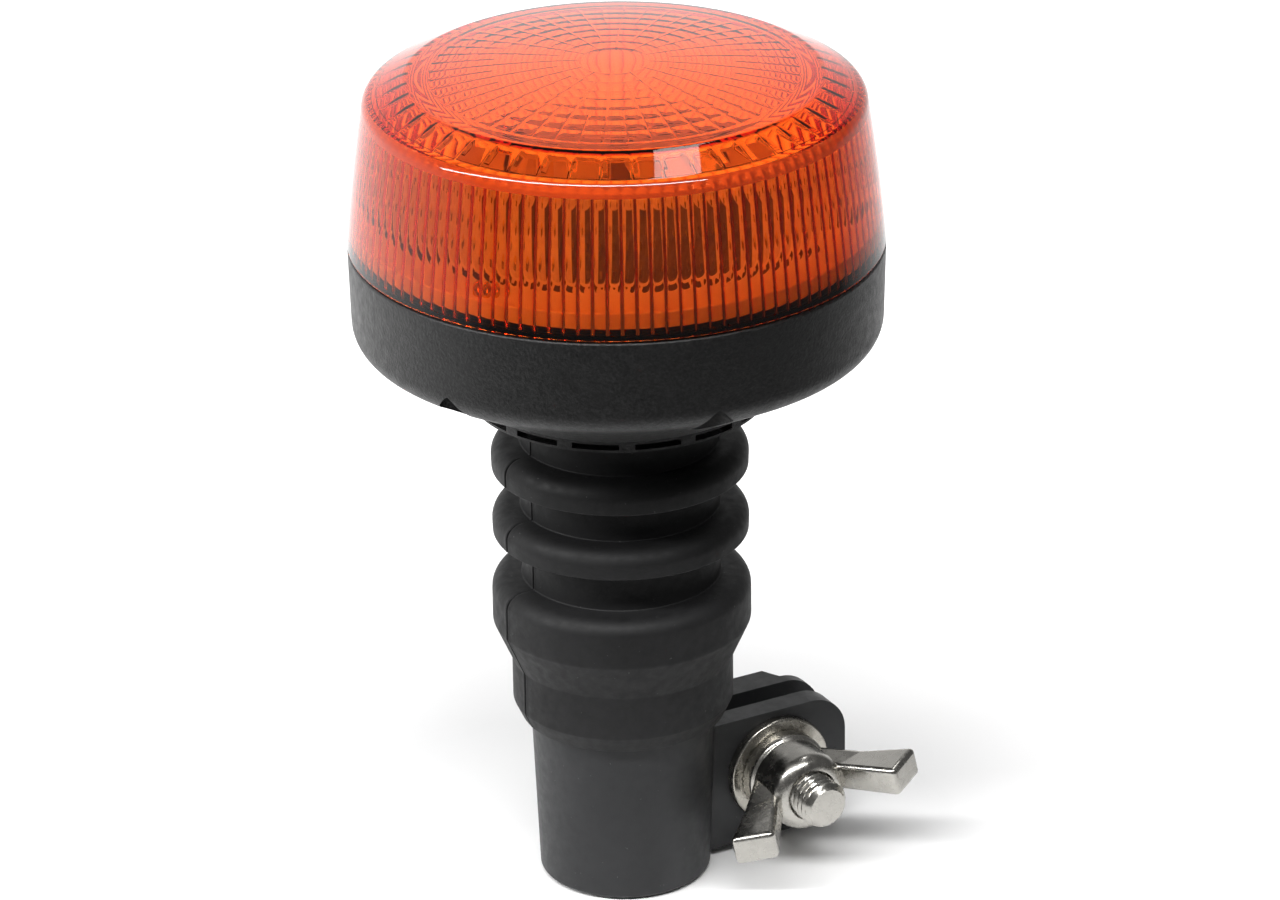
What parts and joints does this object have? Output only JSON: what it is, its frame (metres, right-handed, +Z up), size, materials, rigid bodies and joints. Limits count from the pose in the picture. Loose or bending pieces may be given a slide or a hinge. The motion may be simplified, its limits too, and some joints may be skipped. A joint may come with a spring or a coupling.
{
  "type": "warning light",
  "caption": "Amber beacon with a fluted lens on a black base, carried by a flexible rubber stem with a split pole socket that a wing nut clamps.",
  "frame": {"origin": "centre of the pole socket's mouth, where the pole enters", "axes": "+Z up the pole and stem to the lens, +X along the clamp ears, -Y to the wing nut"},
  "size_m": [0.105, 0.105, 0.1747],
  "materials": {
    "amber_lens": "clear moulded acrylic, polished outside",
    "black_plastic": "fine spark-eroded texture",
    "charcoal_nylon": "satin moulded",
    "black_rubber": "satin moulded rubber",
    "seal_rubber": "matt",
    "nickel_steel": "bright plated",
    "brass": "plain",
    "spring_steel": "drawn wire",
    "gold_screw": "yellow plated",
    "insulator": "moulded",
    "white_reflector": "white, bright",
    "circuit_board": "solder mask",
    "emitter": "pale package",
    "ferrite": "dark",
    "can": "sleeved can",
    "red_wire": "insulation",
    "black_wire": "insulation"
  },
  "bodies": {
    "mount": {"pole_socket": "charcoal_nylon", "contact_carrier": "insulator", "contact_spring": "spring_steel", "live_terminal": "brass", "earth_contact": "brass", "clamp_bolt": "nickel_steel"},
    "plunger": {"centre_contact": "brass"},
    "clamp_washer": {"clamp_washer": "nickel_steel"},
    "wing_nut": {"wing_nut": "nickel_steel"},
    "stem": {"flex_stem": "black_rubber", "live_wire": "red_wire", "earth_wire": "black_wire"},
    "head": {"base_housing": "black_plastic", "stem_plate": "nickel_steel", "stem_screws": "nickel_steel", "lens_seal": "seal_rubber", "lens": "amber_lens", "lens_screws": "nickel_steel", "chassis_deck": "black_plastic", "reflector": "white_reflector", "reflector_screws": "gold_screw", "led_board": "circuit_board", "leds": "emitter", "inductor": "ferrite", "capacitors": "can", "driver_chip": "ferrite", "wire_connector": "insulator"}
  },
  "joints": [
    {"name": "stem_bend_x", "type": "hinge", "parent": "mount", "child": "stem", "pos_m": [0, 0, 0.0758], "axis": [1, 0, 0], "range_deg": [-20, 20], "stiffness_Nm_per_rad": 6, "deforming": ["flex_stem", "live_wire", "earth_wire"]},
    {"name": "stem_bend_y", "type": "hinge", "parent": "stem", "child": "head", "pos_m": [0, 0, 0.0943], "axis": [0, 1, 0], "range_deg": [-20, 20], "stiffness_Nm_per_rad": 6, "deforming": ["flex_stem", "live_wire", "earth_wire"]},
    {"name": "contact_press", "type": "slide", "parent": "mount", "child": "plunger", "axis": [0, 0, 1], "range_m": [0, 0.003], "stiffness_N_per_m": 600, "springref_m": -0.002, "deforming": ["contact_spring"]},
    {"name": "washer_slide", "type": "slide", "parent": "mount", "child": "clamp_washer", "axis": [0, -1, 0], "range_m": [0, 0.00301]},
    {"name": "wing_nut_turn", "type": "hinge", "parent": "clamp_washer", "child": "wing_nut", "pos_m": [0.031, -0.0098, 0.0166], "axis": [0, -1, 0], "range_deg": [0, 720]}
  ],
  "couplings": [
    {"joint": "washer_slide", "follows": "wing_nut_turn", "m_per_rad": 0.00023873}
  ]
}
